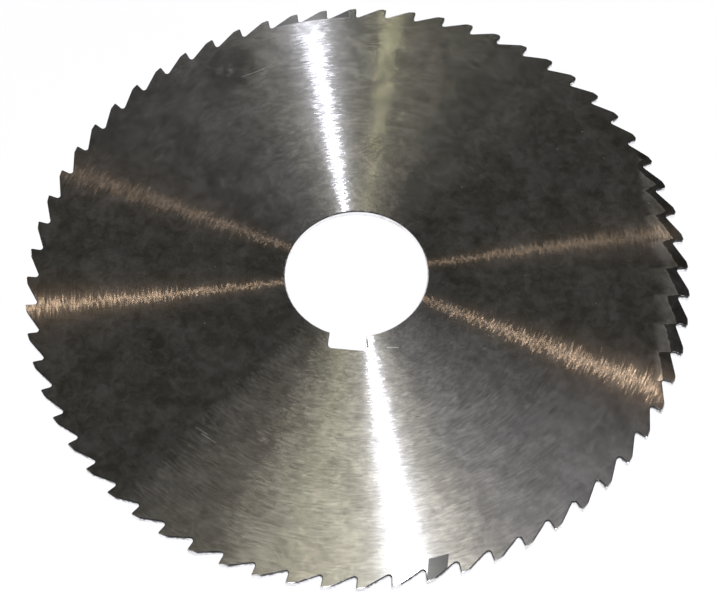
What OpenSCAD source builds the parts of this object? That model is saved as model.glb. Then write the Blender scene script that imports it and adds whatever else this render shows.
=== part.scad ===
// Slitting saw for a milling arbor: a thin steel disc with ratchet teeth and a keyed bore.
// The saw lies flat on its rim at Z = 0, with Z along the bore and the keyway towards -Y.
// Seen from above, the tooth tips point clockwise.

/* [Blade] */
// Cutting diameter over the tooth tips
blade_diameter = 125; // [110:1:160]
// Thickness at the teeth, which is the width of the slot that the saw cuts
blade_thickness = 1.6; // [1.2:0.1:3]

/* [Hollow-ground sides] */
// Diameter of the flat hub that the arbor flanges clamp
hub_diameter = 45; // [42:1:60]
// Depth of each hub face below the sides of the teeth
hub_recess = 0.1; // [0.05:0.01:0.2]
// Width of the flat band between the gullets and the hollow-ground cone
rim_band = 1.5; // [0.5:0.1:5]

/* [Bore and keyway] */
// Diameter of the arbor bore
bore_diameter = 27; // [22:0.5:32]
// Chamfer on both edges of the bore
bore_chamfer = 0.2; // [0.1:0.05:0.3]
// Width of the keyway
keyway_width = 7; // [5:0.5:9]
// Depth of the keyway beyond the wall of the bore
keyway_depth = 2.8; // [2:0.1:4]
// Radius of the two corners at the keyway floor
keyway_corner = 0.8; // [0.4:0.1:1.2]

/* [Teeth] */
// Number of teeth
tooth_count = 64; // [48:1:80]
// Angle from the keyway to the nearest tip, anticlockwise
tooth_index = 0.75; // [-2.5:0.25:2.5]
// Rake of the cutting face, measured from the radius at the tip
rake_angle = 5; // [0:1:12]
// Length of the relieved land behind the tip
land_length = 1.5; // [0.8:0.1:2.2]
// Relief of the land, measured from the tangent at the tip
land_relief = 10; // [6:1:15]
// Slope of the tooth's back, measured from the tangent at the tip
back_angle = 29.5; // [24:0.5:40]
// Radius at the root of each gullet
gullet_radius = 0.5; // [0.3:0.05:0.8]

/* [Hidden] */
$fa = 2;
$fs = 0.1;

// Ring of spare stock outside the tips, all of which the gullets cut away
stock_allowance = 0.1;
// How far a cut runs past the faces and tips that it opens
overcut = 1;

bore_radius = bore_diameter / 2;
hub_radius = hub_diameter / 2;
tip_radius = blade_diameter / 2;
stock_radius = tip_radius + stock_allowance;
keyway_floor = bore_radius + keyway_depth;
tooth_pitch = 360 / tooth_count;
// The tooth that the gullet is drawn for has its tip on the Y axis
first_tip_angle = -180 + tooth_index;

// Unit vector at an angle from the X axis
function heading(angle) = [cos(angle), sin(angle)];

// Straight flanks of one gullet: the land and back of its own tooth, and the face of the tooth behind it
own_tip = [0, tip_radius];
land_heading = heading(land_relief);
back_heading = heading(back_angle);
back_normal = heading(back_angle + 90);
heel = own_tip - land_length * land_heading;
rear_tip = tip_radius * heading(90 + tooth_pitch);
face_heading = heading(90 + tooth_pitch - rake_angle);
face_normal = heading(tooth_pitch - rake_angle);

// Centre of the root, one gullet radius from both the face and the back
face_offset = rear_tip * face_normal + gullet_radius;
back_offset = heel * back_normal + gullet_radius;
root_centre = [
    face_offset * back_normal.y - back_offset * face_normal.y,
    back_offset * face_normal.x - face_offset * back_normal.x
] / cross(face_normal, back_normal);
root_depth_radius = norm(root_centre) - gullet_radius;
cone_radius = root_depth_radius - rim_band;

// Half section of the disc from the bore wall to the edge of the stock
module disc_section() {
    hub_low = hub_recess;
    hub_high = blade_thickness - hub_recess;
    polygon([
        [bore_radius + bore_chamfer, hub_low],
        [hub_radius, hub_low],
        [cone_radius, 0],
        [stock_radius, 0],
        [stock_radius, blade_thickness],
        [cone_radius, blade_thickness],
        [hub_radius, hub_high],
        [bore_radius + bore_chamfer, hub_high],
        [bore_radius, hub_high - bore_chamfer],
        [bore_radius, hub_low + bore_chamfer]
    ]);
}

// Outline of one gullet about the centre of its root
module gullet_outline() {
    own_end = own_tip + overcut * land_heading;
    rear_end = rear_tip + overcut * face_heading;
    circle(r = gullet_radius);
    polygon([
        -gullet_radius * face_normal,
        -gullet_radius * back_normal,
        heel - root_centre,
        own_end - root_centre,
        own_end + overcut * heading(90) - root_centre,
        rear_end - root_centre
    ]);
}

// Outline of the keyway, from the bore axis to its floor
module keyway_outline() {
    corner_y = keyway_corner - keyway_floor;
    corner_x = keyway_width / 2 - keyway_corner;
    translate([-keyway_width / 2, corner_y])
        square([keyway_width, -corner_y]);
    translate([-corner_x, -keyway_floor])
        square([2 * corner_x, keyway_floor]);
    for (side = [-1, 1])
        translate([side * corner_x, corner_y])
            circle(r = keyway_corner);
}

// Extrudes an outline right through the blade
module cut_through() {
    translate([0, 0, -overcut])
        linear_extrude(height = blade_thickness + 2 * overcut)
            children();
}

module saw_blade() {
    color([0.45, 0.44, 0.42])
        difference() {
            rotate_extrude()
                disc_section();
            for (tooth = [0 : tooth_count - 1])
                rotate(first_tip_angle + tooth * tooth_pitch)
                    translate(root_centre)
                        cut_through()
                            gullet_outline();
            cut_through()
                keyway_outline();
        }
}

saw_blade();
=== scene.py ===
"""Slitting saw of circularly ground steel, lying on a white table under soft lamps.

Sizes are in millimetres and angles in degrees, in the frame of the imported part: Z runs along the
bore, the keyway opens towards -Y, and the saw lies on the lower sides of its teeth at Z = 0.
"""
import logging
import math
import random
from dataclasses import dataclass, field
from enum import Enum
from functools import partial, reduce
from typing import Union

import bpy
from mathutils import Matrix, Vector


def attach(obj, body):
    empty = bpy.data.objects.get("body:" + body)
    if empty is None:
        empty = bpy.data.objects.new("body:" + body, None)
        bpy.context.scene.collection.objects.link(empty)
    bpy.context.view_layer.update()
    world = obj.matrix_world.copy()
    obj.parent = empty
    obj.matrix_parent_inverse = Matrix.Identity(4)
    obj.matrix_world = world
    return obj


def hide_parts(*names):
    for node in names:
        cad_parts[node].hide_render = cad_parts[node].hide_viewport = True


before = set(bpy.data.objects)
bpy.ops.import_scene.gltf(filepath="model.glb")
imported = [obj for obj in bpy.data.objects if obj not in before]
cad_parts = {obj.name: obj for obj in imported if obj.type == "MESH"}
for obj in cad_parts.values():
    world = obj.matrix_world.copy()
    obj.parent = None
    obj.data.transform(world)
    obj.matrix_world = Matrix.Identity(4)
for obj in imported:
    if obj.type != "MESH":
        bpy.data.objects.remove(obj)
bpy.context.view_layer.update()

LOG = logging.getLogger("slitting_saw")
MM = 0.001

Socket = bpy.types.NodeSocket
Value = Union[Socket, float, tuple[float, ...]]
Key = Union[int, str]
Colour = tuple[float, float, float]
Triple = tuple[float, float, float]
Spot = tuple[float, float]
Span = tuple[float, float]
Corner = tuple[int, Spot]

# Angle of the keyway, the room that the mesh columns leave beside its mouth, and the steps of its corners
KEYWAY_ANGLE = 270.0
MOUTH_MARGIN = 0.5
KEYWAY_STEPS = (270, 285, 300, 315, 330, 345, 360)
# How far a worn tip is cut back, the steps of a rounded edge, and the least lean of a corner's bisector
WORN_SHARE = 0.29
ROUND_STEPS = 3
LEAST_LEAN = 0.35
# Lowest and highest V of each strip of the texture
UPPER_STRIP = (0.545, 0.995)
LOWER_STRIP = (0.095, 0.535)
FLANK_STRIP = (0.045, 0.085)
BORE_STRIP = (0.005, 0.035)
# Middle of a noise colour, and the factors that flatten a place
MIDDLE = (0.5, 0.5, 0.5)
FLAT = (1.0, 1.0, 0.0)
# Share of a softened lamp over which its glow fades at each edge
EDGE_FADE = 0.15


class SocketKind(Enum):
    """Kinds of socket that a surface effect takes and gives."""

    VALUE = "NodeSocketFloat"
    VECTOR = "NodeSocketVector"


class Skin(Enum):
    """Material places on the blade, in the order of its material slots."""

    SIDE = 0
    FLANK = 1
    BORE = 2


def heading(angle: float) -> Vector:
    """Returns the plane's unit vector at an angle from the X axis."""
    return Vector((math.cos(math.radians(angle)), math.sin(math.radians(angle))))


def turned(point: Vector, angle: float) -> Vector:
    """Returns a plane point turned anticlockwise about the bore axis."""
    return Matrix.Rotation(math.radians(angle), 2) @ point


def angle_of(point: Vector) -> float:
    """Returns the angle of a plane point about the bore axis."""
    return math.degrees(math.atan2(point.y, point.x))


def inward_step(before: Vector, point: Vector, after: Vector) -> Vector:
    """Finds how a corner moves when both of its edges move one unit inwards.

    Args:
        before: The corner before it on an anticlockwise outline.
        point: The corner itself.
        after: The corner after it.

    Returns:
        The corner's step towards the left of the outline.
    """
    first = (point - before).normalized()
    second = (after - point).normalized()
    bisector = Vector((-first.y - second.y, first.x + second.x)).normalized()
    lean = max(LEAST_LEAN, bisector.dot(Vector((-first.y, first.x))))
    return bisector / lean


def placed(name: str, data: bpy.types.ID) -> bpy.types.Object:
    """Makes an object and links it to the scene.

    Args:
        name: Name of the object.
        data: Its mesh, lamp or camera data.

    Returns:
        The object.
    """
    made = bpy.data.objects.new(name, data)
    bpy.context.scene.collection.objects.link(made)
    return made


def stand(azimuth: float, elevation: float, distance: float, target: Triple = (0.0, 0.0, 0.0)) -> Matrix:
    """Places a lamp or camera that looks at a target.

    Args:
        azimuth: Angle about the bore axis at which it stands.
        elevation: Angle above the table at which it stands.
        distance: Distance from the target.
        target: The place it looks at.

    Returns:
        The transform, in metres.
    """
    flat = math.cos(math.radians(elevation))
    back = Vector((*(flat * heading(azimuth)), math.sin(math.radians(elevation))))
    right = Vector((*heading(azimuth + 90), 0.0))
    axes = Matrix((right, back.cross(right), back)).transposed()
    return Matrix.Translation((Vector(target) + distance * back) * MM) @ axes.to_4x4()


class Graph:
    """Places nodes in one node tree and joins their sockets."""

    def __init__(self, tree: bpy.types.NodeTree) -> None:
        """Keeps the tree that the nodes go into."""
        self.tree = tree

    def node(self, kind: str, **settings: object) -> bpy.types.Node:
        """Adds a node.

        Args:
            kind: Blender's name of the node type.
            **settings: Properties to set on the node.

        Returns:
            The new node.
        """
        made = self.tree.nodes.new(kind)
        for name, value in settings.items():
            setattr(made, name, value)
        return made

    def feed(self, socket: Socket, value: Value) -> None:
        """Gives an input socket a plain value, or a link where the value is a socket.

        Args:
            socket: The input socket.
            value: The socket, number, vector or colour that it gets.
        """
        if isinstance(value, bpy.types.NodeSocket):
            self.tree.links.new(value, socket)
        elif socket.type == "RGBA":
            socket.default_value = (*value, 1.0)
        else:
            socket.default_value = value

    def feed_all(self, node: bpy.types.Node, values: dict[Key, Value]) -> None:
        """Feeds several inputs of a node by their names or numbers."""
        for key, value in values.items():
            self.feed(node.inputs[key], value)

    def result(self, kind: str, output: Key, values: dict[Key, Value], **settings: object) -> Socket:
        """Adds a node that is there for one of its outputs.

        Args:
            kind: Blender's name of the node type.
            output: Name or number of the output.
            values: Values of its inputs, by name or number.
            **settings: Properties to set on the node.

        Returns:
            The output.
        """
        made = self.node(kind, **settings)
        self.feed_all(made, values)
        return made.outputs[output]

    def math(self, operation: str, *values: Value) -> Socket:
        """Adds a Math node and returns its result."""
        return self.result("ShaderNodeMath", "Value", dict(enumerate(values)), operation=operation)

    def times(self, *values: Value) -> Value:
        """Multiplies numbers."""
        return reduce(partial(self.math, "MULTIPLY"), values)

    def plus(self, *values: Value) -> Value:
        """Adds numbers."""
        return reduce(partial(self.math, "ADD"), values)

    def most(self, *values: Value) -> Value:
        """Takes the largest of several numbers."""
        return reduce(partial(self.math, "MAXIMUM"), values)

    def minus(self, first: Value, second: Value) -> Socket:
        """Takes the second number from the first."""
        return self.math("SUBTRACT", first, second)

    def vector(self, operation: str, *values: Value) -> Socket:
        """Adds a Vector Math node and returns its vector."""
        return self.result("ShaderNodeVectorMath", "Vector", dict(enumerate(values)), operation=operation)

    def scaled(self, vector: Value, factor: Value) -> Socket:
        """Multiplies a vector or a colour by a number."""
        values = {"Vector": vector, "Scale": factor}
        return self.result("ShaderNodeVectorMath", "Vector", values, operation="SCALE")

    def length(self, vector: Value) -> Socket:
        """Measures a vector."""
        return self.result("ShaderNodeVectorMath", "Value", {0: vector}, operation="LENGTH")

    def dot(self, first: Value, second: Value) -> Socket:
        """Multiplies two vectors into a number."""
        return self.result("ShaderNodeVectorMath", "Value", {0: first, 1: second}, operation="DOT_PRODUCT")

    def parts(self, vector: Value) -> tuple[Socket, ...]:
        """Splits a vector into its three numbers.

        Args:
            vector: The vector.

        Returns:
            Its X, Y and Z.
        """
        made = self.node("ShaderNodeSeparateXYZ")
        self.feed(made.inputs["Vector"], vector)
        return tuple(made.outputs)

    def joined(self, x: Value, y: Value, z: Value) -> Socket:
        """Joins three numbers into a vector."""
        return self.result("ShaderNodeCombineXYZ", "Vector", {"X": x, "Y": y, "Z": z})

    def ramp(self, value: Value, low: Value, high: Value, start: Value = 0.0, end: Value = 1.0) -> Socket:
        """Maps a value smoothly from one range to another.

        Args:
            value: The value to map.
            low: Value at which the result is start.
            high: Value at which the result is end.
            start: Result at and below low.
            end: Result at and above high.

        Returns:
            The mapped value.
        """
        limits = {"From Min": low, "From Max": high, "To Min": start, "To Max": end}
        values = {"Value": value, **limits}
        return self.result("ShaderNodeMapRange", "Result", values, interpolation_type="SMOOTHSTEP")

    def noise(
        self, place: Value, scale: Value, detail: float, rough: float = 0.5, warp: float = 0.0
    ) -> bpy.types.Node:
        """Adds a three-dimensional noise texture.

        Args:
            place: Place on the surface.
            scale: Features per unit of place.
            detail: Octaves of finer noise.
            rough: Strength of the finer octaves.
            warp: Distortion of the noise by itself.

        Returns:
            The noise node, with the outputs Fac and Color.
        """
        made = self.node("ShaderNodeTexNoise", noise_dimensions="3D")
        values = {"Scale": scale, "Detail": detail, "Roughness": rough, "Distortion": warp}
        self.feed_all(made, {"Vector": place, **values})
        return made

    def blend(self, share: Value, first: Value, second: Value) -> Socket:
        """Mixes two colours by a share of the second."""
        return self.result("ShaderNodeMix", 2, {0: share, 6: first, 7: second}, data_type="RGBA")

    def mixed(self, share: Value, first: Socket, second: Socket) -> Socket:
        """Mixes two shaders by a share of the second."""
        return self.result("ShaderNodeMixShader", "Shader", {0: share, 1: first, 2: second})

    def show(self, surface: Socket, kind: str = "ShaderNodeOutputMaterial") -> None:
        """Ends the tree in an output node that shows a shader."""
        self.feed(self.node(kind).inputs["Surface"], surface)


def new_material(name: str) -> tuple[bpy.types.Material, Graph]:
    """Makes an empty material.

    Args:
        name: Name of the material.

    Returns:
        The material and the graph of its tree.
    """
    made = bpy.data.materials.new(name)
    made.use_nodes = True
    made.node_tree.nodes.clear()
    return made, Graph(made.node_tree)


class SurfaceEffect:
    """Shader node group that the finishes share, built once and placed with each finish's own values."""

    title = ""
    takes: dict[str, tuple[SocketKind, Union[float, tuple[float, ...]]]] = {}
    gives: dict[str, SocketKind] = {}

    def wire(self, graph: Graph, given: dict[str, Socket]) -> dict[str, Socket]:
        """Makes the inside of the group.

        Args:
            graph: Graph of the group's tree.
            given: The group's inputs by name.

        Returns:
            The sockets that feed the group's outputs, by name.
        """
        raise NotImplementedError

    def tree(self) -> bpy.types.NodeTree:
        """Makes the group at the first call.

        Returns:
            The group's tree.
        """
        ready = bpy.data.node_groups.get(self.title)
        if ready:
            return ready
        made = bpy.data.node_groups.new(self.title, "ShaderNodeTree")
        for name, (kind, value) in self.takes.items():
            socket = made.interface.new_socket(name, in_out="INPUT", socket_type=kind.value)
            socket.default_value = value
        for name, kind in self.gives.items():
            made.interface.new_socket(name, in_out="OUTPUT", socket_type=kind.value)
        graph = Graph(made)
        entry = graph.node("NodeGroupInput")
        leave = graph.node("NodeGroupOutput")
        given = {name: entry.outputs[name] for name in self.takes}
        graph.feed_all(leave, self.wire(graph, given))
        return made

    def place(self, graph: Graph, **values: Value) -> dict[str, Socket]:
        """Places the group in a material.

        Args:
            graph: Graph of the material's tree.
            **values: Input values by name, with _ for a space.

        Returns:
            The group's outputs by name.
        """
        made = graph.node("ShaderNodeGroup", node_tree=self.tree(), label=self.title)
        graph.feed_all(made, {name.replace("_", " "): value for name, value in values.items()})
        return {name: made.outputs[name] for name in self.gives}


class BorePlace(SurfaceEffect):
    """Place on the blade in polar form, in millimetres about the bore axis."""

    title = "Place about the bore"
    gives = {
        "Place": SocketKind.VECTOR,
        "Flat": SocketKind.VECTOR,
        "Radius": SocketKind.VALUE,
        "Outwards": SocketKind.VECTOR,
        "Around": SocketKind.VECTOR,
        "Height": SocketKind.VALUE,
    }

    def wire(self, graph: Graph, given: dict[str, Socket]) -> dict[str, Socket]:
        """Measures the place on the object, and its directions outwards and around.

        Args:
            graph: Graph of the group's tree.
            given: Empty, because the group has no inputs.

        Returns:
            The sockets that feed the group's outputs.
        """
        place = graph.scaled(graph.node("ShaderNodeTexCoord").outputs["Object"], 1 / MM)
        flat = graph.vector("MULTIPLY", place, FLAT)
        outwards = graph.vector("NORMALIZE", flat)
        return {
            "Place": place,
            "Flat": flat,
            "Radius": graph.length(flat),
            "Outwards": outwards,
            "Around": graph.vector("CROSS_PRODUCT", (0.0, 0.0, 1.0), outwards),
            "Height": graph.parts(place)[2],
        }


class GrindingMarks(SurfaceEffect):
    """Short grooves that run around the bore axis and tilt the surface a little."""

    title = "Grinding marks"
    takes = {
        "Normal": (SocketKind.VECTOR, (0.0, 0.0, 1.0)),
        "Spacing": (SocketKind.VALUE, 0.15),
        "Marks per Radian": (SocketKind.VALUE, 10.0),
        "Tilt Around": (SocketKind.VALUE, 0.02),
        "Tilt Outwards": (SocketKind.VALUE, 0.1),
        "Even Radius": (SocketKind.VALUE, 45.0),
    }
    gives = {"Groove": SocketKind.VALUE, "Normal": SocketKind.VECTOR}

    def wire(self, graph: Graph, given: dict[str, Socket]) -> dict[str, Socket]:
        """Stretches noise along the circles of the blade, and tilts the normal by it, more near the bore.

        Args:
            graph: Graph of the group's tree.
            given: The group's inputs by name.

        Returns:
            The depth of the grooves and the tilted normal.
        """
        polar = BorePlace().place(graph)
        across = graph.math("DIVIDE", polar["Radius"], given["Spacing"])
        x, y, _ = graph.parts(graph.scaled(polar["Outwards"], given["Marks per Radian"]))
        grooves = graph.noise(graph.joined(across, x, y), scale=1.0, detail=2.0, rough=0.6)
        around, outwards, _ = graph.parts(graph.vector("SUBTRACT", grooves.outputs["Color"], MIDDLE))
        nearer = graph.math("SQRT", graph.math("DIVIDE", given["Even Radius"], polar["Radius"]))
        around = graph.times(around, nearer, given["Tilt Around"])
        outwards = graph.times(outwards, given["Tilt Outwards"])
        tilt = graph.vector(
            "ADD", graph.scaled(polar["Around"], around), graph.scaled(polar["Outwards"], outwards)
        )
        normal = graph.vector("NORMALIZE", graph.vector("ADD", given["Normal"], tilt))
        return {"Groove": grooves.outputs["Fac"], "Normal": normal}


class SmokyStain(SurfaceEffect):
    """Cloudy tarnish with soft edges."""

    title = "Smoky stain"
    takes = {
        "Size": (SocketKind.VALUE, 10.0),
        "Shift": (SocketKind.VECTOR, (0.0, 0.0, 0.0)),
        "Low": (SocketKind.VALUE, 0.35),
        "High": (SocketKind.VALUE, 0.65),
    }
    gives = {"Mask": SocketKind.VALUE}

    def wire(self, graph: Graph, given: dict[str, Socket]) -> dict[str, Socket]:
        """Cuts warped noise between a low and a high level.

        Args:
            graph: Graph of the group's tree.
            given: The group's inputs by name.

        Returns:
            The mask of the clouds.
        """
        place = graph.vector("ADD", BorePlace().place(graph)["Place"], given["Shift"])
        scale = graph.math("DIVIDE", 1.0, given["Size"])
        clouds = graph.noise(place, scale, detail=6.0, rough=0.6, warp=0.7)
        return {"Mask": graph.ramp(clouds.outputs["Fac"], given["Low"], given["High"])}


class ScatteredMarks(SurfaceEffect):
    """Specks, or fine scratches where the cells are long and narrow."""

    title = "Scattered marks"
    takes = {
        "Turn": (SocketKind.VALUE, 0.0),
        "Cell Length": (SocketKind.VALUE, 5.0),
        "Cell Width": (SocketKind.VALUE, 5.0),
        "Reach": (SocketKind.VALUE, 0.05),
        "Share": (SocketKind.VALUE, 0.3),
    }
    gives = {"Mask": SocketKind.VALUE}

    def wire(self, graph: Graph, given: dict[str, Socket]) -> dict[str, Socket]:
        """Marks the middle of some cells of a turned and stretched Voronoi pattern.

        Args:
            graph: Graph of the group's tree.
            given: The group's inputs by name.

        Returns:
            The mask of the marks.
        """
        turn = {"Vector": BorePlace().place(graph)["Place"], "Angle": given["Turn"]}
        place = graph.result("ShaderNodeVectorRotate", "Vector", turn, rotation_type="Z_AXIS")
        cell = graph.joined(given["Cell Length"], given["Cell Width"], 1.0)
        cells = graph.node("ShaderNodeTexVoronoi", voronoi_dimensions="2D", feature="F1")
        graph.feed_all(cells, {"Vector": graph.vector("DIVIDE", place, cell), "Scale": 1.0})
        chance, size, _ = graph.parts(cells.outputs["Color"])
        reach = graph.times(given["Reach"], graph.ramp(size, 0.0, 1.0, 0.4, 1.2))
        spot = graph.ramp(cells.outputs["Distance"], graph.times(reach, 0.5), reach, 1.0, 0.0)
        return {"Mask": graph.times(spot, graph.math("LESS_THAN", chance, given["Share"]))}


class ScratchStroke(SurfaceEffect):
    """One straight scratch between two places on the blade."""

    title = "Scratch stroke"
    takes = {
        "Start": (SocketKind.VECTOR, (0.0, 0.0, 0.0)),
        "End": (SocketKind.VECTOR, (1.0, 0.0, 0.0)),
        "Width": (SocketKind.VALUE, 0.2),
    }
    gives = {"Mask": SocketKind.VALUE}

    def wire(self, graph: Graph, given: dict[str, Socket]) -> dict[str, Socket]:
        """Measures the distance to the stroke, with ragged edges.

        Args:
            graph: Graph of the group's tree.
            given: The group's inputs by name.

        Returns:
            The mask of the scratch.
        """
        place = BorePlace().place(graph)["Flat"]
        ragged = graph.noise(place, scale=3.0, detail=2.0).outputs["Fac"]
        run = graph.vector("SUBTRACT", given["End"], given["Start"])
        offset = graph.vector("SUBTRACT", place, given["Start"])
        share = graph.math("DIVIDE", graph.dot(offset, run), graph.dot(run, run))
        nearest = graph.scaled(run, graph.math("MINIMUM", graph.most(share, 0.0), 1.0))
        distance = graph.length(graph.vector("SUBTRACT", offset, nearest))
        reach = graph.times(given["Width"], graph.ramp(ragged, 0.3, 0.7, 0.3, 1.0))
        return {"Mask": graph.ramp(distance, 0.0, reach, 1.0, 0.0)}


class EdgeShade(SurfaceEffect):
    """Painted shade: a dark line along the upper edges of the walls."""

    title = "Painted edge shade"
    takes = {
        "Thickness": (SocketKind.VALUE, 1.6),
        "Width": (SocketKind.VALUE, 0.2),
    }
    gives = {"Mask": SocketKind.VALUE}

    def wire(self, graph: Graph, given: dict[str, Socket]) -> dict[str, Socket]:
        """Measures how near the place is to the upper side of the blade, with a ragged limit.

        Args:
            graph: Graph of the group's tree.
            given: The group's inputs by name.

        Returns:
            The mask of the painted edge shade.
        """
        polar = BorePlace().place(graph)
        depth = graph.minus(given["Thickness"], polar["Height"])
        ragged = graph.noise(polar["Place"], scale=1.5, detail=3.0, rough=0.6).outputs["Fac"]
        reach = graph.times(given["Width"], graph.ramp(ragged, 0.3, 0.7, 0.4, 1.4))
        return {"Mask": graph.ramp(depth, graph.times(reach, 0.5), reach, 1.0, 0.0)}


class StackPrint(SurfaceEffect):
    """Outline of a saw that was stacked on this one, a little to one side."""

    title = "Print of a stacked saw"
    takes = {
        "Shift": (SocketKind.VECTOR, (-2.1, 0.3, 0.0)),
        "Wander": (SocketKind.VALUE, 0.9),
        "Teeth": (SocketKind.VALUE, 64.0),
        "First Tip": (SocketKind.VALUE, 0.0),
        "Tip Radius": (SocketKind.VALUE, 62.5),
        "Depth": (SocketKind.VALUE, 2.3),
        "Face Share": (SocketKind.VALUE, 0.1),
    }
    gives = {"Beyond": SocketKind.VALUE}

    def wire(self, graph: Graph, given: dict[str, Socket]) -> dict[str, Socket]:
        """Compares the place with a ratchet outline about the shifted centre.

        Args:
            graph: Graph of the group's tree.
            given: The group's inputs by name.

        Returns:
            How far the place lies beyond the outline.
        """
        place = BorePlace().place(graph)["Place"]
        wander = graph.noise(place, scale=0.7, detail=3.0, rough=0.6).outputs["Color"]
        wander = graph.scaled(graph.vector("SUBTRACT", wander, MIDDLE), given["Wander"])
        place = graph.vector("ADD", graph.vector("SUBTRACT", place, given["Shift"]), wander)
        x, y, _ = graph.parts(place)
        radius = graph.length(graph.joined(x, y, 0.0))
        lead = graph.minus(graph.math("ARCTAN2", y, x), given["First Tip"])
        turns = graph.math("DIVIDE", lead, 2 * math.pi)
        share = graph.math("FRACT", graph.times(turns, given["Teeth"]))
        back = graph.math("DIVIDE", share, graph.minus(1.0, given["Face Share"]))
        face = graph.math("DIVIDE", graph.minus(1.0, share), given["Face Share"])
        sink = graph.times(given["Depth"], graph.math("MINIMUM", back, face))
        return {"Beyond": graph.minus(radius, graph.minus(given["Tip Radius"], sink))}


@dataclass(frozen=True)
class Scratch:
    """A straight scratch on the sides, and how strongly it shows."""

    start: Spot
    end: Spot
    width: float
    strength: float = 0.5

    def mask(self, graph: Graph) -> Socket:
        """Places the scratch at full strength and returns its mask."""
        ends = {"Start": (*self.start, 0.0), "End": (*self.end, 0.0)}
        return ScratchStroke().place(graph, **ends, Width=self.width)["Mask"]


@dataclass(frozen=True)
class Marks:
    """Scattered marks: the size of their cells, their reach in a cell, the share of cells, and the turn."""

    length: float
    width: float
    reach: float
    share: float
    turn: float = 0.0

    def mask(self, graph: Graph) -> Socket:
        """Places the marks and returns their mask."""
        cell = {"Cell_Length": self.length, "Cell_Width": self.width, "Turn": self.turn}
        return ScatteredMarks().place(graph, **cell, Reach=self.reach, Share=self.share)["Mask"]


@dataclass(frozen=True)
class Grooves:
    """Grinding marks: their spacing, number and tilts, and how far they shade the steel."""

    spacing: float
    per_radian: float
    tilt_around: float
    tilt_outwards: float
    contrast: float

    def place(self, graph: Graph) -> tuple[Socket, Socket]:
        """Places the marks.

        Args:
            graph: The material's graph.

        Returns:
            The shade of the grooves and the tilted normal.
        """
        marks = GrindingMarks().place(
            graph,
            Normal=graph.node("ShaderNodeNewGeometry").outputs["Normal"],
            Spacing=self.spacing,
            Marks_per_Radian=self.per_radian,
            Tilt_Around=self.tilt_around,
            Tilt_Outwards=self.tilt_outwards,
        )
        shade = graph.ramp(marks["Groove"], 0.3, 0.7, 1.0 - self.contrast, 1.0 + self.contrast)
        return shade, marks["Normal"]


@dataclass(frozen=True)
class Clouds:
    """Smoky clouds: their size, limits and place, and the levels outside and inside them."""

    size: float
    low: float
    high: float
    shift: Triple = (0.0, 0.0, 0.0)
    outside: float = 0.0
    inside: float = 1.0

    def mask(self, graph: Graph) -> Socket:
        """Places the clouds and returns their mask."""
        limits = {"Low": self.low, "High": self.high}
        return SmokyStain().place(graph, Size=self.size, Shift=self.shift, **limits)["Mask"]

    def level(self, graph: Graph) -> Socket:
        """Places the clouds and returns their level."""
        return graph.ramp(self.mask(graph), 0.0, 1.0, self.outside, self.inside)


def near(graph: Graph, spot: Spot, reach: float, fade: float = 0.5) -> Socket:
    """Masks the places on the sides that are within reach of a spot.

    Args:
        graph: The material's graph.
        spot: The spot.
        reach: Distance at which the mask ends.
        fade: Width of its soft edge.

    Returns:
        The mask.
    """
    apart = graph.vector("SUBTRACT", BorePlace().place(graph)["Flat"], (*spot, 0.0))
    return graph.ramp(graph.length(apart), reach - fade, reach, 1.0, 0.0)


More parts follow.
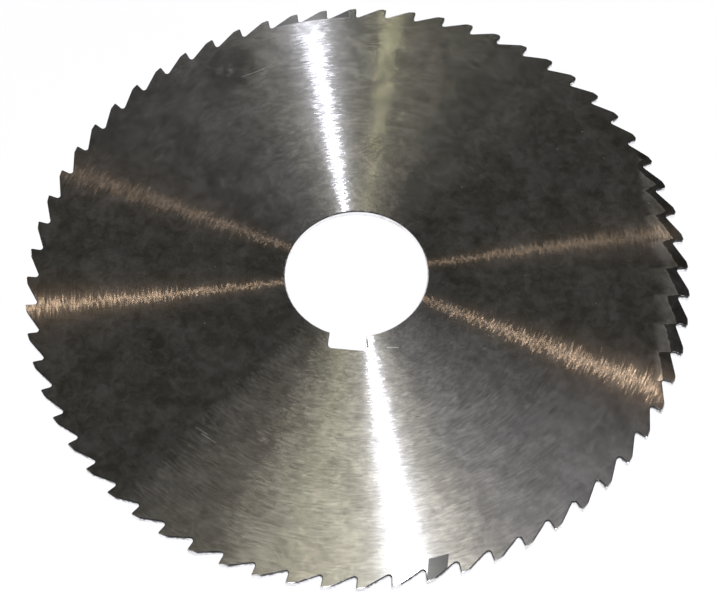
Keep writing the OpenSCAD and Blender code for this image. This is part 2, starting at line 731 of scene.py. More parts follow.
@dataclass(frozen=True)
class RimPrint:
    """Print of a stacked saw: a band on one side of the rim, the teeth at the top and one tooth below."""

    colour: Colour = (0.124, 0.122, 0.108)
    upper: Span = (0.7, 0.9)
    # Band on the rim, with a pale border and halo inside it
    first_tip: float = 90.75
    side: float = 6.0
    rim: Span = (53.9, 55.8)
    limit: Span = (-0.1, 0.1)
    border: Span = (-0.6, -0.25)
    halo: Span = (-4.0, -0.6)
    band_shade: float = 0.82
    border_shade: float = 1.3
    halo_shade: float = 2.1
    # The tooth below
    tooth: Spot = (20.5, -57.5)
    tooth_reach: float = 6.0
    tooth_sides: Span = (1.6, 1.8)
    tooth_foot: Span = (58.3, 58.5)
    # The teeth at the top, and the fainter corner below them
    crown: Spot = (-15.7, 58.4)
    crown_reach: float = 8.0
    crown_foot: Span = (59.9, 60.3)
    corner: Spot = (-15.9, 56.8)
    corner_reach: float = 3.4
    corner_fade: float = 1.4
    corner_side: float = 152.8
    corner_limit: Span = (38.8, 39.2)
    corner_share: float = 0.5

    def marks(self, graph: Graph) -> tuple[Socket, Socket, Socket]:
        """Shades the print on the upper side.

        Args:
            graph: The material's graph.

        Returns:
            The shade of the steel, and the masks of the dark band and of the dark teeth.
        """
        place = BorePlace().place(graph)
        upper = graph.ramp(place["Height"], *self.upper)
        across = graph.dot(place["Place"], (*heading(self.side), 0.0))
        rim = graph.times(graph.ramp(across, *self.rim), upper)
        beyond = StackPrint().place(graph, First_Tip=math.radians(self.first_tip))["Beyond"]
        within = graph.times(graph.ramp(beyond, *self.limit, 1.0, 0.0), rim)
        band = graph.times(graph.ramp(beyond, *self.limit), rim)
        shades = (
            (band, self.band_shade),
            (graph.times(graph.ramp(beyond, *self.border), within), self.border_shade),
            (graph.times(graph.ramp(beyond, *self.halo), within), self.halo_shade),
        )
        shade = graph.times(*(graph.ramp(mask, 0.0, 1.0, 1.0, level) for mask, level in shades))
        teeth = graph.most(self.tooth_mask(graph, place), self.crown_mask(graph, place))
        return shade, band, graph.times(teeth, upper)

    def tooth_mask(self, graph: Graph, place: dict[str, Socket]) -> Socket:
        """Masks the tooth below.

        Args:
            graph: The material's graph.
            place: Place on the blade in polar form.

        Returns:
            The mask.
        """
        aside = graph.math("ABSOLUTE", graph.minus(graph.parts(place["Place"])[0], self.tooth[0]))
        return graph.times(
            near(graph, self.tooth, self.tooth_reach),
            graph.ramp(aside, *self.tooth_sides, 1.0, 0.0),
            graph.ramp(place["Radius"], *self.tooth_foot),
        )

    def crown_mask(self, graph: Graph, place: dict[str, Socket]) -> Socket:
        """Masks the teeth at the top, and a fainter corner below them.

        Args:
            graph: The material's graph.
            place: Place on the blade in polar form.

        Returns:
            The mask.
        """
        foot = graph.ramp(place["Radius"], *self.crown_foot)
        crown = graph.times(near(graph, self.crown, self.crown_reach), foot)
        slant = graph.dot(place["Place"], (*heading(self.corner_side), 0.0))
        faint = graph.times(graph.ramp(slant, *self.corner_limit), self.corner_share)
        corner = near(graph, self.corner, self.corner_reach, self.corner_fade)
        return graph.most(crown, graph.times(corner, faint))


@dataclass(frozen=True)
class SteelFinish:
    """Name, colour and gloss of a steel finish."""

    name: str
    steel: Colour
    roughness: float

    def start(self) -> tuple[bpy.types.Material, Graph, bpy.types.Node]:
        """Makes a bare metal material.

        Returns:
            The material, its graph and its Principled shader.
        """
        made, graph = new_material(self.name)
        shader = graph.node("ShaderNodeBsdfPrincipled")
        shader.inputs["Metallic"].default_value = 1.0
        return made, graph, shader


@dataclass(frozen=True)
class GroundSide(SteelFinish):
    """Sides ground in circles: glossy fans, smoky tarnish, scratches, specks of dust and a print."""

    name: str = "ground_side"
    steel: Colour = (0.600, 0.593, 0.578)
    roughness: float = 0.22
    # Gloss in two layers: a smooth one over low swells, and one that is broken up by hairs
    anisotropy: float = 1.0
    grain_turn: float = 0.25
    swells: Grooves = Grooves(0.2, 24.0, 0.01, 0.2, 0.03)
    hairs: Grooves = Grooves(0.34, 20.0, 0.065, 0.38, 0.025)
    hair_share: float = 0.55
    hair_roughness: float = 0.1538
    hair_anisotropy: float = 0.8521
    # Tarnish in clouds, a dull film, a smudge and a dark nick
    warm: Colour = (0.604, 0.590, 0.570)
    blots: Clouds = Clouds(24.0, 0.35, 0.70, (90.0, 20.0, 0.0))
    tarnish: tuple[Clouds, ...] = (
        Clouds(6.0, 0.30, 0.70, (0.0, 0.0, 0.0), 1.11, 0.88),
        Clouds(2.4, 0.40, 0.60, (30.0, 0.0, 0.0), 0.95, 1.05),
    )
    film: tuple[Clouds, ...] = (
        Clouds(5.0, 0.30, 0.68, (0.0, 40.0, 0.0), 0.0, 0.036),
        Clouds(2.4, 0.40, 0.60, (30.0, 0.0, 0.0), 0.0, 0.020),
        Clouds(0.9, 0.30, 0.70, (0.0, 70.0, 0.0), 0.0, 0.020),
    )
    smudge: Clouds = Clouds(3.0, 0.30, 0.50, (6.0, 15.0, 0.0))
    smudge_spot: Spot = (-30.5, 44.8)
    smudge_reach: float = 8.0
    smudge_fade: float = 5.0
    smudge_shade: float = 0.62
    nick: Scratch = Scratch((3.6, -14.0), (3.9, -15.5), 0.35)
    nick_shade: float = 0.06
    # Print, specks of dust, and scratches down to bare metal
    rim_print: RimPrint = RimPrint()
    print_gloss: float = 0.25
    print_dulling: float = 0.2
    dust: Colour = (0.20, 0.195, 0.18)
    dust_dulling: float = 0.3
    specks: Marks = Marks(4.5, 4.5, 0.03, 0.05)
    bare: Colour = (0.72, 0.71, 0.69)
    bare_metal: float = 0.15
    bare_dulling: float = 0.15
    scratches: tuple[Scratch, ...] = (
        Scratch((-28.0, 42.7), (-23.7, 45.3), 0.16),
        Scratch((-42.1, 21.1), (-40.8, 22.9), 0.14, 0.35),
        Scratch((7.4, -15.2), (9.4, -15.0), 0.28, 1.0),
        Scratch((31.6, 38.6), (31.9, 34.1), 0.10, 0.3),
        Scratch((19.2, 25.8), (23.9, 22.3), 0.10, 0.3),
        Scratch((-25.2, -34.7), (-22.9, -35.9), 0.14),
        Scratch((-24.0, -35.9), (-21.1, -37.4), 0.16),
    )
    fine_scratches: tuple[Marks, ...] = (
        Marks(26.0, 26.0 / 60, 0.09, 0.04, 0.5),
        Marks(18.0, 18.0 / 60, 0.09, 0.04, 1.9),
    )
    fine_strength: float = 0.1

    def make(self) -> bpy.types.Material:
        """Makes the material of the blade's two sides.

        Returns:
            The material, a smooth gloss and a gloss broken up by hairs over the same steel.
        """
        made, graph, shader = self.start()
        hair_shade, hair_normal = self.hairs.place(graph)
        swell_shade, swell_normal = self.swells.place(graph)
        print_shade, band, patch = self.rim_print.marks(graph)
        shade = graph.times(print_shade, graph.times(hair_shade, swell_shade))
        bare = self.scratch_mask(graph)
        specks = self.specks.mask(graph)
        steel = graph.blend(patch, graph.scaled(self.tarnished(graph), shade), self.rim_print.colour)
        steel = graph.blend(specks, graph.blend(bare, steel, self.bare), self.dust)
        clean = graph.minus(graph.ramp(bare, 0.0, 1.0, 1.0, self.bare_metal), specks)
        film = graph.plus(*(clouds.level(graph) for clouds in self.film))
        rough = graph.plus(
            self.roughness,
            graph.times(patch, self.print_dulling),
            graph.times(specks, self.dust_dulling),
            graph.times(bare, self.bare_dulling),
        )
        tangent = graph.node("ShaderNodeTangent", direction_type="RADIAL", axis="Z").outputs["Tangent"]
        smooth = {
            "Base Color": steel,
            "Metallic": graph.minus(clean, film),
            "Roughness": rough,
            "Normal": swell_normal,
            "Tangent": tangent,
            "Anisotropic": self.anisotropy,
            "Anisotropic Rotation": self.grain_turn,
        }
        graph.feed_all(shader, smooth)
        glossy = graph.ramp(graph.most(band, patch), 0.0, 1.0, 1.0, self.print_gloss)
        hairy = {
            "Color": graph.scaled(steel, glossy),
            "Normal": hair_normal,
            "Tangent": tangent,
            "Roughness": self.hair_roughness,
            "Anisotropy": self.hair_anisotropy,
        }
        gloss = graph.result("ShaderNodeBsdfAnisotropic", "BSDF", hairy, distribution="GGX")
        graph.show(graph.mixed(self.hair_share, shader.outputs["BSDF"], gloss))
        return made

    def tarnished(self, graph: Graph) -> Socket:
        """Colours the steel in warmer and cooler clouds, with a smudge and a dark nick.

        Args:
            graph: The material's graph.

        Returns:
            The colour of the steel.
        """
        tint = graph.blend(self.blots.mask(graph), self.steel, self.warm)
        around = near(graph, self.smudge_spot, self.smudge_reach, self.smudge_fade)
        smudge = graph.times(self.smudge.mask(graph), around)
        shades = [clouds.level(graph) for clouds in self.tarnish]
        shades.append(graph.ramp(smudge, 0.0, 1.0, 1.0, self.smudge_shade))
        shades.append(graph.ramp(self.nick.mask(graph), 0.0, 0.5, 1.0, self.nick_shade))
        return graph.scaled(tint, graph.times(*shades))

    def scratch_mask(self, graph: Graph) -> Socket:
        """Joins the placed scratches and the fine random ones.

        Args:
            graph: The material's graph.

        Returns:
            The mask of the bare metal.
        """
        strokes = [graph.times(scratch.mask(graph), scratch.strength) for scratch in self.scratches]
        strokes += [graph.times(marks.mask(graph), self.fine_strength) for marks in self.fine_scratches]
        return graph.most(*strokes)


@dataclass(frozen=True)
class GroundWall(SteelFinish):
    """Walls of steel painted lighter than the sides, with clouds of grime, and painted shade along the upper
    edge.
    """

    grimy: Colour
    grime: Clouds
    grime_dulling: float
    # Colour of the painted shade along the upper edge, its width, and where it ends
    edge: Colour
    edge_shade_width: float
    edge_shade_end: Span = (62.0, 62.3)

    def make(self) -> bpy.types.Material:
        """Makes the material of the walls.

        Returns:
            The material, whose painted edge shade ends behind the tips of the teeth.
        """
        made, graph, shader = self.start()
        grime = self.grime.mask(graph)
        # Painted shade: a dark line along the upper edge of the wall
        wear = EdgeShade().place(graph, Width=self.edge_shade_width)["Mask"]
        behind = graph.ramp(BorePlace().place(graph)["Radius"], *self.edge_shade_end, 1.0, 0.0)
        steel = graph.blend(grime, self.steel, self.grimy)
        rough = graph.ramp(grime, 0.0, 1.0, self.roughness, self.roughness + self.grime_dulling)
        # Painted shade: the upper edge is blended towards the dark edge colour
        steel = graph.blend(graph.times(wear, behind), steel, self.edge)
        graph.feed_all(shader, {"Base Color": steel, "Roughness": rough})
        graph.show(shader.outputs["BSDF"])
        return made


GULLET_FLANK = GroundWall(
    name="gullet_flank",
    # Painted light: steel painted lighter than the sides, so the tooth walls look brightly lit
    steel=(0.86, 0.855, 0.84),
    roughness=0.22,
    grimy=(0.62, 0.61, 0.59),
    grime=Clouds(2.5, 0.45, 0.75),
    grime_dulling=0.2,
    # Painted shade: a very dark line along the upper edges of the tooth walls
    edge=(0.05, 0.049, 0.047),
    edge_shade_width=1.0,
)
BORE_WALL = GroundWall(
    name="bore_wall",
    # Painted light: steel painted lighter than the sides, so the bore wall looks brightly lit
    steel=(0.90, 0.895, 0.885),
    roughness=0.25,
    grimy=(0.72, 0.71, 0.69),
    grime=Clouds(3.0, 0.45, 0.75, (40.0, 0.0, 0.0)),
    grime_dulling=0.15,
    # Painted shade: a darker line along the upper edge of the bore wall
    edge=(0.50, 0.49, 0.475),
    edge_shade_width=0.3,
)


@dataclass
class MeshDraft:
    """Vertices and faces of a mesh before Blender makes it, with texture places and skins."""

    points: list[Triple] = field(default_factory=list)
    faces: list[list[Corner]] = field(default_factory=list)
    skins: list[int] = field(default_factory=list)

    def point(self, plane: Vector, height: float) -> int:
        """Adds a vertex in millimetres and returns its number."""
        self.points.append((plane.x * MM, plane.y * MM, height * MM))
        return len(self.points) - 1

    def face(self, skin: Skin, corners: list[Corner], flip: bool = False) -> None:
        """Adds a face.

        Args:
            skin: Material place of the face.
            corners: Vertex numbers with texture places, anticlockwise seen from outside.
            flip: Whether the corners are listed clockwise instead.
        """
        self.faces.append(corners[::-1] if flip else corners)
        self.skins.append(skin.value)

    def finish(self, name: str, sharp_from: float) -> bpy.types.Object:
        """Makes the mesh object.

        Args:
            name: Name of the object.
            sharp_from: Angle between faces from which their edge stays sharp.

        Returns:
            The object, linked to the scene.
        """
        mesh = bpy.data.meshes.new(name)
        mesh.from_pydata(self.points, [], [[vertex for vertex, _ in face] for face in self.faces])
        layer = mesh.uv_layers.new(name="OFBake")
        for polygon, face, skin in zip(mesh.polygons, self.faces, self.skins):
            polygon.material_index = skin
            for loop, (_, place) in zip(polygon.loop_indices, face):
                layer.data[loop].uv = place
        mesh.shade_smooth()
        mesh.set_sharp_from_angle(angle=math.radians(sharp_from))
        made = placed(name, mesh)
        level = made.modifiers.new("flat_sides", "WEIGHTED_NORMAL")
        level.keep_sharp = True
        level.weight = 100
        return made


@dataclass(frozen=True)
class ToothForm:
    """Ratchet tooth: straight face, relieved land, sloping back and a round root."""

    tip_radius: float = 62.5
    count: int = 64
    index: float = 0.75
    rake: float = 5.0
    land_length: float = 1.5
    land_relief: float = 10.0
    back_slope: float = 29.5
    root_radius: float = 0.5
    root_steps: int = 4

    @property
    def pitch(self) -> float:
        """Angle from tooth to tooth."""
        return 360.0 / self.count

    @property
    def corners(self) -> int:
        """Number of outline corners of one tooth and its gullet."""
        return 2 * self.root_steps + 5

    def root_centre(self) -> Vector:
        """Finds the centre of the root, which touches the back and the next tooth's face.

        Returns:
            The centre, for the tooth whose tip is on +Y.
        """
        rear_tip = self.tip_radius * heading(90 + self.pitch)
        face_normal = heading(self.pitch - self.rake)
        back_normal = heading(self.back_slope + 90)
        face_offset = rear_tip.dot(face_normal) + self.root_radius
        back_offset = self.heel().dot(back_normal) + self.root_radius
        spread = face_normal.x * back_normal.y - face_normal.y * back_normal.x
        x = face_offset * back_normal.y - back_offset * face_normal.y
        y = back_offset * face_normal.x - face_offset * back_normal.x
        return Vector((x, y)) / spread

    def heel(self) -> Vector:
        """Returns the end of the land, behind the tip on +Y."""
        return Vector((0, self.tip_radius)) - self.land_length * heading(self.land_relief)

    def outline(self, face_wear: float, land_wear: float) -> list[Vector]:
        """Draws one tooth and the gullet behind it, anticlockwise, with its tip on +Y.

        Args:
            face_wear: How far the worn tip lies down the face.
            land_wear: How far the worn tip lies along the land.

        Returns:
            Three corners of the worn tip, the heel, and the root from the back to the next face.
        """
        tip = Vector((0, self.tip_radius))
        centre = self.root_centre()
        first = self.back_slope - 90
        last = self.pitch - self.rake - 180
        steps = 2 * self.root_steps
        root = [
            centre + self.root_radius * heading(first + (last - first) * step / steps)
            for step in range(steps + 1)
        ]
        down_face = face_wear * heading(90 - self.rake)
        along_land = land_wear * heading(self.land_relief)
        worn = [tip - down_face, tip - WORN_SHARE * (down_face + along_land), tip - along_land]
        return [*worn, self.heel(), *root]

    def root_depth_radius(self) -> float:
        """Returns the radius of the circle that the roots touch."""
        return self.root_centre().length - self.root_radius


@dataclass(frozen=True)
class SideEdges:
    """Vertices along the edges of one side of the blade."""

    outer: list[int]
    inner: list[int]


@dataclass(frozen=True)
class BoreCorner:
    """Corner of the bore's outline, with the mesh column that it belongs to."""

    point: Vector
    edge_break: float
    share: float
    column: Union[int, None] = None


def outline_steps(outline: list[Vector]) -> list[Vector]:
    """Finds how the corners of an anticlockwise outline move when it shrinks by one unit.

    Args:
        outline: The corners.

    Returns:
        Each corner's step.
    """
    count = len(outline)
    return [
        inward_step(outline[number - 1], outline[number], outline[(number + 1) % count])
        for number in range(count)
    ]


@dataclass
class SawBlade:
    """The saw: a thin hollow-ground disc with teeth, a flat hub, and a bore with a keyway."""

    thickness: float = 1.6
    hub_radius: float = 22.5
    hub_recess: float = 0.1
    rim_band: float = 1.5
    bore_radius: float = 13.5
    bore_chamfer: float = 0.2
    keyway_width: float = 7.0
    keyway_floor: float = 16.3
    keyway_corner: float = 0.8
    keyway_break: float = 0.06
    edge_round: float = 0.15
    collar_radius: float = 18.0
    cone_steps: int = 6
    sharp_from: float = 35.0
    tooth: ToothForm = field(default_factory=ToothForm)
    face_wear: Span = (0.12, 0.28)
    land_wear: Span = (0.20, 0.50)
    blunt_side: float = 35.0
    blunt_gain: float = 1.0
    seed: int = 27

    def build(self) -> bpy.types.Object:
        """Builds the blade with its finishes.

        Returns:
            The blade, riding on the only body in place of the CAD solid.
        """
        draft = MeshDraft()
        teeth = self.tooth_outlines()
        top = self.side(draft, teeth, upper=True)
        bottom = self.side(draft, teeth, upper=False)
        self.tooth_walls(draft, teeth, top.outer, bottom.outer)
        self.bore_walls(draft, teeth, top.inner, bottom.inner)
        blade = draft.finish("saw_blade_ground", self.sharp_from)
        for finish in (GroundSide(), GULLET_FLANK, BORE_WALL):
            blade.data.materials.append(finish.make())
        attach(blade, "root")
        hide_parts("saw_blade")
        return blade

    def tooth_outlines(self) -> list[list[Vector]]:
        """Draws all the teeth, each with its own wear, which is greater on the blunt side.

        Returns:
            The corners of each tooth and its gullet.
        """
        draw = random.Random(self.seed)
        drawn = []
        for number in range(self.tooth.count):
            turn = self.tooth.index + number * self.tooth.pitch
            wear = 1.0 + self.blunt_gain * max(0.0, heading(90 + turn).dot(heading(self.blunt_side)))
            down_face = wear * draw.uniform(*self.face_wear)
            along_land = wear * draw.uniform(*self.land_wear)
            outline = self.tooth.outline(down_face, along_land)
            drawn.append([turned(point, turn) for point in outline])
        return drawn

    @property
    def cone_radius(self) -> float:
        """Radius at which the hollow-ground cone starts below the rim's flat band."""
        return self.tooth.root_depth_radius() - self.rim_band

    def height(self, radius: float, upper: bool) -> float:
        """Measures the hollow grinding of one side.

        Args:
            radius: Distance from the bore axis.
            upper: Whether this is the upper side.

        Returns:
            The height of the side at that radius.
        """
        share = (self.cone_radius - radius) / (self.cone_radius - self.hub_radius)
        sink = self.hub_recess * min(1.0, max(0.0, share))
        return self.thickness - sink if upper else sink

    def columns(self, teeth: list[list[Vector]]) -> list[float]:
        """Spreads the mesh columns evenly, from the root before the first tooth on.

        Args:
            teeth: Outlines of the teeth.

        Returns:
            The angles of the columns.
        """
        start = angle_of(teeth[-1][self.root_corner])
        count = self.tooth.count * self.tooth.corners
        return [start + 360 * number / count for number in range(count)]

    @property
    def root_corner(self) -> int:
        """Number of the outline corner in the middle of a root."""
        return self.tooth.corners - 1 - self.tooth.root_steps

    def side_place(self, share: float, radius: float, upper: bool) -> Spot:
        """Unrolls a side on the texture, so that the circles run along U.

        Args:
            share: Share of the way around.
            radius: Distance from the bore axis.
            upper: Whether this is the upper side.

        Returns:
            The texture place.
        """
        low, high = UPPER_STRIP if upper else LOWER_STRIP
        reach = (radius - self.bore_radius) / (self.tooth.tip_radius - self.bore_radius)
        return share, low + (high - low) * reach

    def side(self, draft: MeshDraft, teeth: list[list[Vector]], upper: bool) -> SideEdges:
        """Builds one side of the blade.

        Args:
            draft: Mesh to build in.
            teeth: Outlines of the teeth.
            upper: Whether this is the upper side.

        Returns:
            The vertices along the side's outer and inner edges.
        """
        angles = self.columns(teeth)
        span = self.cone_radius - self.hub_radius
        radii = [self.cone_radius - span * step / self.cone_steps for step in range(self.cone_steps + 1)]
        radii.append(self.collar_radius)
        rings = []
        for radius in radii:
            level = self.height(radius, upper)
            rings.append([draft.point(radius * heading(angle), level) for angle in angles])
        for number in range(len(radii) - 1):
            self.band(draft, rings[number:number + 2], radii[number:number + 2], upper)
        outer = self.tooth_faces(draft, teeth, rings[0], angles, upper)
        inner = self.hub_face(draft, rings[-1], angles, upper)
        return SideEdges(outer, inner)

    def band(self, draft: MeshDraft, rings: list[list[int]], radii: list[float], upper: bool) -> None:
        """Joins an outer and an inner ring of a side with quads.

        Args:
            draft: Mesh to build in.
            rings: Vertices of the two rings.
            radii: Radii of the two rings.
            upper: Whether this is the upper side.
        """
        count = len(rings[0])
        for number in range(count):
            after = (number + 1) % count
            shares = (number / count, (number + 1) / count)
            corners = [
                (rings[1][number], self.side_place(shares[0], radii[1], upper)),
                (rings[0][number], self.side_place(shares[0], radii[0], upper)),
                (rings[0][after], self.side_place(shares[1], radii[0], upper)),
                (rings[1][after], self.side_place(shares[1], radii[1], upper)),
            ]
            draft.face(Skin.SIDE, corners, flip=not upper)

    def tooth_faces(
        self, draft: MeshDraft, teeth: list[list[Vector]], ring: list[int], angles: list[float], upper: bool
    ) -> list[int]:
        """Builds the flat side of every tooth, from the cone's edge to the rounded outline.

        Args:
            draft: Mesh to build in.
            teeth: Outlines of the teeth.
            ring: Vertices of the cone's edge.
            angles: Angles of those vertices.
            upper: Whether this is the upper side.

        Returns:
            The vertices of the outline on this side.
        """
        outline = [point for tooth in teeth for point in tooth]
        steps = outline_steps(outline)
        inset = [point + self.edge_round * step for point, step in zip(outline, steps)]
        edge = [draft.point(point, self.height(point.length, upper)) for point in inset]
        corners, total = self.tooth.corners, len(outline)
        for tooth in range(self.tooth.count):
            start = tooth * corners
            face = []
            for number in range(start + self.root_corner - corners, start + self.root_corner + 1):
                point = inset[number % total]
                lead = (angle_of(point) - angles[start] + 180) % 360 - 180
                share = (tooth + lead / self.tooth.pitch) / self.tooth.count
                face.append((edge[number % total], self.side_place(share, point.length, upper)))
            for number in range(start + corners, start - 1, -1):
                place = self.side_place(number / total, self.cone_radius, upper)
                face.append((ring[number % total], place))
            draft.face(Skin.SIDE, face, flip=not upper)
        return edge

    def hub_face(self, draft: MeshDraft, ring: list[int], angles: list[float], upper: bool) -> list[int]:
        """Builds the flat hub from the collar ring to the chamfered bore and keyway.

        Args:
            draft: Mesh to build in.
            ring: Vertices of the collar ring.
            angles: Angles of the mesh columns.
            upper: Whether this is the upper side.

        Returns:
            The vertices of the inner outline on this side.
        """
        outline = self.bore_outline(angles)
        steps = outline_steps([corner.point for corner in outline])
        edge, places = [], []
        for corner, step in zip(outline, steps):
            point = corner.point - corner.edge_break * step
            edge.append(draft.point(point, self.height(0.0, upper)))
            places.append(self.side_place(corner.share, point.length, upper))
        total = len(angles)
        collar = [self.side_place(number / total, self.collar_radius, upper) for number in range(total + 1)]
        for number, corner in enumerate(outline):
            after = (number + 1) % len(outline)
            if corner.column is None or outline[after].column is None:
                continue
            column = corner.column
            following = (collar[column + 1][0], places[after][1])
            face = [
                (edge[number], places[number]),
                (ring[column], collar[column]),
                (ring[(column + 1) % total], collar[column + 1]),
                (edge[after], following),
            ]
            draft.face(Skin.SIDE, face, flip=not upper)
        gap = [number for number, corner in enumerate(outline) if corner.column is None]
        first, last = gap[0] - 1, gap[-1] + 1
        spanned = range(outline[first].column, outline[last].column + 1)
        face = [(ring[column], collar[column]) for column in spanned]
        face += [(edge[number], places[number]) for number in range(last, first - 1, -1)]
        draft.face(Skin.SIDE, face, flip=not upper)
        return edge

    def bore_outline(self, angles: list[float]) -> list[BoreCorner]:
        """Draws the bore and its keyway anticlockwise, with a bore corner on each mesh column.

        Args:
            angles: Angles of the mesh columns.

        Returns:
            The corners of the outline.
        """
        half = self.keyway_width / 2
        mouth = math.degrees(math.asin(half / self.bore_radius)) + MOUTH_MARGIN
        total = len(angles)
        before, after = [], []
        for column, angle in enumerate(angles):
            corner = BoreCorner(self.bore_radius * heading(angle), self.bore_chamfer, column / total, column)
            if angle < KEYWAY_ANGLE - mouth:
                before.append(corner)
            elif angle > KEYWAY_ANGLE + mouth:
                after.append(corner)
        keyway = []
        for point in self.keyway_points():
            share = ((angle_of(point) - angles[0]) % 360) / 360
            keyway.append(BoreCorner(point, self.keyway_break, share))
        return before + keyway + after

    def keyway_points(self) -> list[Vector]:
        """Draws the keyway from its left mouth round its floor to its right mouth.

        Returns:
            The points of its outline.
        """
        half = self.keyway_width / 2
        mouth = Vector((half, -math.sqrt(self.bore_radius ** 2 - half ** 2)))
        centre = Vector((half - self.keyway_corner, self.keyway_corner - self.keyway_floor))
        right = [centre + self.keyway_corner * heading(angle) for angle in KEYWAY_STEPS]
        right.append(mouth)
        left = [Vector((-point.x, point.y)) for point in reversed(right)]
        return left + right

    def tooth_walls(
        self, draft: MeshDraft, teeth: list[list[Vector]], top: list[int], bottom: list[int]
    ) -> None:
        """Builds the walls of the teeth with a small rounding along both edges.

        Args:
            draft: Mesh to build in.
            teeth: Outlines of the teeth.
            top: Vertices of the outline on the upper side.
            bottom: Vertices of the outline on the lower side.
        """
        outline = [point for tooth in teeth for point in tooth]
        steps = outline_steps(outline)
        rings = [top]
        for depth, height in self.wall_levels():
            rings.append([draft.point(point + depth * step, height) for point, step in zip(outline, steps)])
        rings.append(bottom)
        self.wall(draft, rings, Skin.FLANK, FLANK_STRIP, outward=True)

    def wall_levels(self) -> list[tuple[float, float]]:
        """Rounds the upper and lower edges of the tooth walls.

        Returns:
            How far in and how high each inner ring of the walls lies, from the top down.
        """
        curve = [heading(90 * step / ROUND_STEPS) for step in range(1, ROUND_STEPS + 1)]
        bends = [(self.edge_round * (1 - bend.y), self.edge_round * (1 - bend.x)) for bend in curve]
        upper = [(depth, self.thickness - drop) for depth, drop in bends]
        return upper + bends[::-1]

    def bore_walls(
        self, draft: MeshDraft, teeth: list[list[Vector]], top: list[int], bottom: list[int]
    ) -> None:
        """Builds the wall of the bore and keyway between their chamfers.

        Args:
            draft: Mesh to build in.
            teeth: Outlines of the teeth, which set the mesh columns.
            top: Vertices of the inner outline on the upper side.
            bottom: Vertices of the inner outline on the lower side.
        """
        outline = self.bore_outline(self.columns(teeth))
        rings = [top]
        for upper in (True, False):
            sign = -1 if upper else 1
            level = self.height(0.0, upper)
            rings.append([draft.point(corner.point, level + sign * corner.edge_break) for corner in outline])
        rings.append(bottom)
        self.wall(draft, rings, Skin.BORE, BORE_STRIP, outward=False)

    def wall(
        self, draft: MeshDraft, rings: list[list[int]], skin: Skin, strip: Span, outward: bool
    ) -> None:
        """Joins rings that lie above each other with quads.

        Args:
            draft: Mesh to build in.
            rings: Vertices of the rings, from the top down.
            skin: Material place of the wall.
            strip: Lowest and highest V of the wall on the texture.
            outward: Whether the wall looks away from the bore axis.
        """
        count = len(rings[0])
        levels = [strip[1] - (strip[1] - strip[0]) * level / (len(rings) - 1) for level in range(len(rings))]
        for level in range(len(rings) - 1):
            for number in range(count):
                after = (number + 1) % count
                left, right = number / count, (number + 1) / count
                face = [
                    (rings[level][number], (left, levels[level])),
                    (rings[level + 1][number], (left, levels[level + 1])),
                    (rings[level + 1][after], (right, levels[level + 1])),
                    (rings[level][after], (right, levels[level])),
                ]
                draft.face(skin, face, flip=not outward)


@dataclass(frozen=True)
class SoftLamp:
    """Rectangular lamp that faces the middle of the saw, with soft edges where it has a boost."""

    name: str
    azimuth: float
    elevation: float
    distance: float
    width: float
    height: float
    level: Colour
    boost: float = 1.0

    def build(self) -> bpy.types.Object:
        """Makes the lamp, whose level is how bright it lights a white table.

        Returns:
            The lamp object.
        """
        brightest = max(self.level)
        rise = math.sin(math.radians(self.elevation))
        data = bpy.data.lights.new(self.name, "AREA")
        data.shape = "RECTANGLE"
        data.size = self.width * MM
        data.size_y = self.height * MM
        data.color = tuple(part / brightest for part in self.level)
        data.energy = 4 * math.pi * (self.distance * MM) ** 2 * brightest / rise
        if self.boost > 1.0:
            self.soften(data)
        lamp = placed(self.name, data)
        lamp.matrix_world = stand(self.azimuth, self.elevation, self.distance)
        return lamp

    def soften(self, data: bpy.types.AreaLight) -> None:
        """Fades the lamp towards its edges.

        The power rises by the boost and the glow falls by it, so the lamp is as bright as before, but is
        sampled more often.

        Args:
            data: The lamp's data.
        """
        data.energy *= self.boost
        data.use_nodes = True
        data.node_tree.nodes.clear()
        graph = Graph(data.node_tree)
        glow: Value = 1.0 / (self.boost * (1.0 - EDGE_FADE) ** 2)
        for part in graph.parts(graph.node("ShaderNodeNewGeometry").outputs["Parametric"])[:2]:
            inside = graph.minus(0.5, graph.math("ABSOLUTE", graph.minus(part, 0.5)))
            glow = graph.times(glow, graph.ramp(inside, 0.0, EDGE_FADE))
        shine = graph.result("ShaderNodeEmission", "Emission", {"Strength": glow})
        graph.show(shine, "ShaderNodeOutputLight")


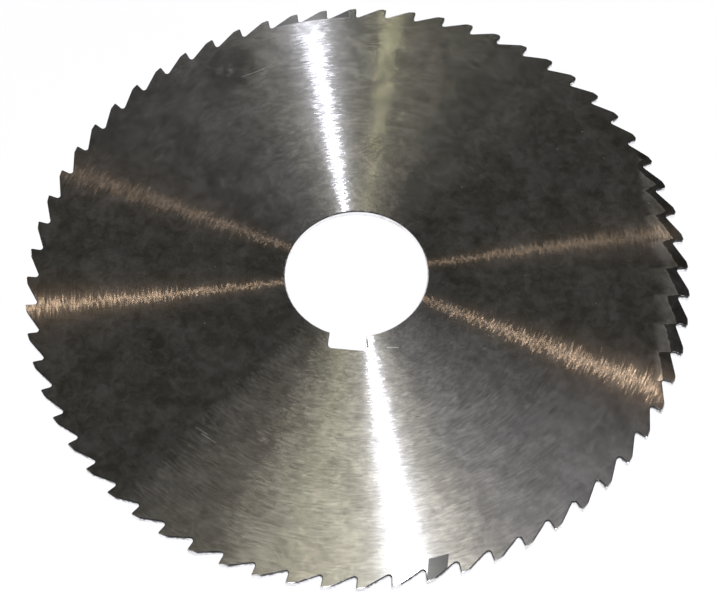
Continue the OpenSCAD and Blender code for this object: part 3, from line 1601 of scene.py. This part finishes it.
@dataclass
class Studio:
    """White table, dim room and soft lamps."""

    room: Colour = (0.0372, 0.0357, 0.0300)
    table_colour: Colour = (0.92, 0.92, 0.92)
    table_size: float = 6000.0
    table_drop: float = 0.05
    table_glow: float = 0.6
    lamps: tuple[SoftLamp, ...] = (
        SoftLamp("key_lamp", 295.0, 65.1, 1499.0, 42.0, 83.0, (0.2863, 0.2935, 0.3430)),
        SoftLamp("spot_lamp", 295.7, 74.8, 1496.0, 32.0, 49.0, (0.4151, 0.4225, 0.4810)),
        SoftLamp("ceiling_panel", 232.9, 86.5, 641.0, 479.0, 450.0, (0.0226, 0.0210, 0.0179)),
        SoftLamp("shelf_panel", 42.8, 86.3, 757.0, 409.0, 150.0, (0.0466, 0.0450, 0.0358)),
        SoftLamp("wall_panel", 9.2, 78.4, 557.0, 391.0, 160.0, (0.0246, 0.0242, 0.0256)),
        SoftLamp("left_lamp", 159.3, 29.9, 1500.0, 15.0, 35.0, (0.0460, 0.0330, 0.0226), 6.0),
        SoftLamp("right_lamp", 34.0, 55.8, 1466.0, 18.0, 48.0, (0.0180, 0.0130, 0.0092), 16.0),
        SoftLamp("strip_lamp", 94.3, 31.7, 1162.0, 36.0, 58.0, (0.0032, 0.0031, 0.0018), 12.0),
    )

    def build(self) -> None:
        """Sets up the room, the lamps and the table."""
        self.light_room()
        for lamp in self.lamps:
            lamp.build()
            LOG.info("lamp %s", lamp.name)
        table = self.build_table()
        LOG.info("table %s", table.name)

    def light_room(self) -> None:
        """Gives the world the room's dim even light."""
        world = bpy.data.worlds.new("dim_room")
        world.use_nodes = True
        ground = world.node_tree.nodes["Background"]
        ground.inputs["Color"].default_value = (*self.room, 1.0)
        bpy.context.scene.world = world

    def build_table(self) -> bpy.types.Object:
        """Makes the table top, just below the saw.

        Returns:
            The table.
        """
        half = self.table_size * MM / 2
        level = -self.table_drop * MM
        corners = [(-half, -half, level), (half, -half, level), (half, half, level), (-half, half, level)]
        mesh = bpy.data.meshes.new("white_table")
        mesh.from_pydata(corners, [], [(0, 1, 2, 3)])
        mesh.materials.append(self.table_material())
        return placed("white_table", mesh)

    def table_material(self) -> bpy.types.Material:
        """Makes a white that keeps shadows, and looks white to the camera and in reflections.

        Returns:
            The material.
        """
        made, graph = new_material("white_table")
        paper = graph.result("ShaderNodeBsdfDiffuse", "BSDF", {"Color": self.table_colour})
        glow = graph.node("ShaderNodeEmission").outputs["Emission"]
        rays = graph.node("ShaderNodeLightPath").outputs
        seen = graph.most(rays["Is Camera Ray"], rays["Is Glossy Ray"], rays["Is Transmission Ray"])
        graph.show(graph.mixed(graph.times(seen, self.table_glow), paper, glow))
        return made


@dataclass(frozen=True)
class ViewCamera:
    """Camera above the front of the saw."""

    azimuth: float = -81.126
    elevation: float = 61.208
    roll: float = -2.825
    distance: float = 327.7
    target: Triple = (0.975, -5.886, 1.6)
    lens: float = 88.17
    sensor: float = 36.0
    nearest: float = 10.0

    def build(self) -> bpy.types.Object:
        """Makes the scene's camera.

        Returns:
            The camera.
        """
        data = bpy.data.cameras.new("view_camera")
        data.sensor_fit = "HORIZONTAL"
        data.sensor_width = self.sensor
        data.lens = self.lens
        data.clip_start = self.nearest * MM
        camera = placed("view_camera", data)
        roll = Matrix.Rotation(math.radians(self.roll), 4, "Z")
        camera.matrix_world = stand(self.azimuth, self.elevation, self.distance, self.target) @ roll
        bpy.context.scene.camera = camera
        return camera


def main() -> None:
    """Builds the camera, the studio and the saw."""
    logging.basicConfig(level=logging.INFO, format="%(name)s: %(message)s")
    bpy.context.scene.view_settings.view_transform = "Standard"
    LOG.info("camera %s", ViewCamera().build().name)
    Studio().build()
    blade = SawBlade().build()
    LOG.info("piece %s, %d faces", blade.name, len(blade.data.polygons))


if __name__ == "__main__":
    main()
